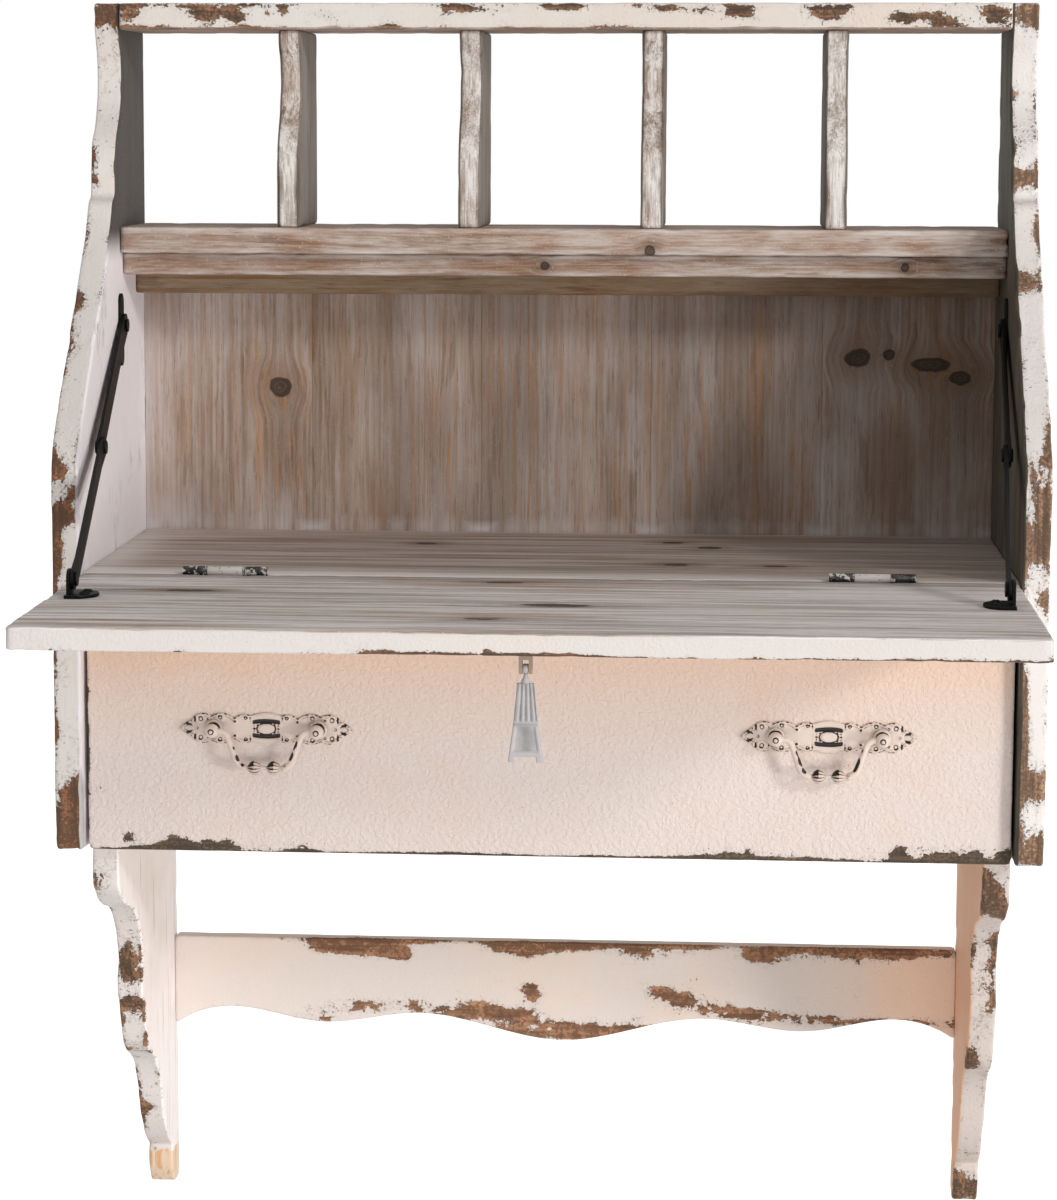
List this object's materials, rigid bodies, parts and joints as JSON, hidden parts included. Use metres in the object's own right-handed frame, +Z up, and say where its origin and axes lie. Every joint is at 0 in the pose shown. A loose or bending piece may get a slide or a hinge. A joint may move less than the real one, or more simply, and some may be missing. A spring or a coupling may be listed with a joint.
{
  "type": "fold down wall desk",
  "caption": "Wall-hung writing desk: serpentine sides, open pigeonholes, a drop lid on folding stays, a drawer with bail pulls, and scrolled bracket legs joined by a stretcher.",
  "frame": {"origin": "on the wall plane, midway between the round entries of the two keyhole hangers", "axes": "+X to the right seen from the front, +Y into the wall, +Z up"},
  "size_m": [0.6, 0.4785, 0.799],
  "materials": {
    "distressed_paint": "chalky crackled off-white and pink paint, worn to bare pine at the edges",
    "whitewashed_pine": "thin white wash over grey-brown pine",
    "raw_pine": "bare sawn pine",
    "black_iron": "satin black",
    "hinge_steel": "dull steel with white paint on the knuckles",
    "antiqued_casting": "white wash over dark cast metal",
    "zinc_steel": "zinc plated"
  },
  "bodies": {
    "case": {"side_panel_left": "distressed_paint", "side_panel_right": "distressed_paint", "top_board": "distressed_paint", "shelf_board": "whitewashed_pine", "lid_stop_rail": "whitewashed_pine", "hanging_rail": "whitewashed_pine", "divider_1": "whitewashed_pine", "divider_2": "whitewashed_pine", "divider_3": "whitewashed_pine", "divider_4": "whitewashed_pine", "back_board_1": "whitewashed_pine", "back_board_2": "whitewashed_pine", "back_board_3": "whitewashed_pine", "back_board_4": "whitewashed_pine", "back_board_5": "whitewashed_pine", "desk_floor": "whitewashed_pine", "bottom_board": "raw_pine", "leg_left": "distressed_paint", "leg_right": "distressed_paint", "stretcher": "distressed_paint", "hinge_case_leaf_left": "hinge_steel", "hinge_case_leaf_right": "hinge_steel", "hinge_pin_left": "hinge_steel", "hinge_pin_right": "hinge_steel", "hinge_case_screws": "hinge_steel", "stay_wall_plate_left": "black_iron", "stay_wall_plate_right": "black_iron", "stay_wall_rivets": "black_iron", "stay_plate_screws": "black_iron", "hanger_plate_left": "zinc_steel", "hanger_plate_right": "zinc_steel", "hanger_screws": "zinc_steel"},
    "lid": {"lid_board": "whitewashed_pine", "hinge_lid_leaf_left": "hinge_steel", "hinge_lid_leaf_right": "hinge_steel", "hinge_lid_screws": "hinge_steel", "lid_bracket_left": "black_iron", "lid_bracket_right": "black_iron", "lid_bracket_screws": "black_iron", "stay_lid_rivets": "black_iron", "drop_pull_fork": "antiqued_casting", "drop_pull_pin": "antiqued_casting"},
    "drawer": {"drawer_front": "distressed_paint", "drawer_side_left": "raw_pine", "drawer_side_right": "raw_pine", "drawer_back": "raw_pine", "drawer_bottom": "raw_pine", "pull_plate_left": "antiqued_casting", "pull_plate_right": "antiqued_casting", "pull_posts": "antiqued_casting", "pull_nuts": "zinc_steel"},
    "stay_upper_left": {"stay_upper_link_left": "black_iron"},
    "stay_lower_left": {"stay_lower_link_left": "black_iron"},
    "bail_left": {"bail_left": "antiqued_casting"},
    "stay_upper_right": {"stay_upper_link_right": "black_iron"},
    "stay_lower_right": {"stay_lower_link_right": "black_iron"},
    "bail_right": {"bail_right": "antiqued_casting"},
    "drop_pull": {"drop_pull_pendant": "antiqued_casting"}
  },
  "joints": [
    {"name": "lid_hinge", "type": "hinge", "parent": "case", "child": "lid", "pos_m": [0, -0.244, -0.3084], "axis": [-1, 0, 0], "range_deg": [0, 130.5]},
    {"name": "drawer_slide", "type": "slide", "parent": "case", "child": "drawer", "axis": [0, -1, 0], "range_m": [0, 0.15]},
    {"name": "stay_upper_left_pivot", "type": "hinge", "parent": "case", "child": "stay_upper_left", "pos_m": [-0.2799, -0.102, -0.168], "axis": [1, 0, 0], "range_deg": [0, 98.3]},
    {"name": "stay_lower_left_pivot", "type": "hinge", "parent": "lid", "child": "stay_lower_left", "pos_m": [-0.2675, -0.352, -0.3], "axis": [1, 0, 0], "range_deg": [0, 92.8]},
    {"name": "bail_left_swing", "type": "hinge", "parent": "drawer", "child": "bail_left", "pos_m": [-0.1705, -0.255, -0.405], "axis": [-1, 0, 0], "range_deg": [0, 100]},
    {"name": "stay_upper_right_pivot", "type": "hinge", "parent": "case", "child": "stay_upper_right", "pos_m": [0.2799, -0.102, -0.168], "axis": [1, 0, 0], "range_deg": [0, 98.3]},
    {"name": "stay_lower_right_pivot", "type": "hinge", "parent": "lid", "child": "stay_lower_right", "pos_m": [0.2675, -0.352, -0.3], "axis": [1, 0, 0], "range_deg": [0, 92.8]},
    {"name": "bail_right_swing", "type": "hinge", "parent": "drawer", "child": "bail_right", "pos_m": [0.1705, -0.255, -0.405], "axis": [-1, 0, 0], "range_deg": [0, 100]},
    {"name": "drop_pull_swing", "type": "hinge", "parent": "lid", "child": "drop_pull", "pos_m": [0, -0.4595, -0.332], "axis": [1, 0, 0], "range_deg": [-85, 85]}
  ],
  "couplings": [
    {"joint": "stay_upper_left_pivot", "follows": "lid_hinge", "ratio": 0.75217},
    {"joint": "stay_lower_left_pivot", "follows": "lid_hinge", "ratio": 0.71014},
    {"joint": "stay_upper_right_pivot", "follows": "lid_hinge", "ratio": 0.75217},
    {"joint": "stay_lower_right_pivot", "follows": "lid_hinge", "ratio": 0.71014}
  ]
}
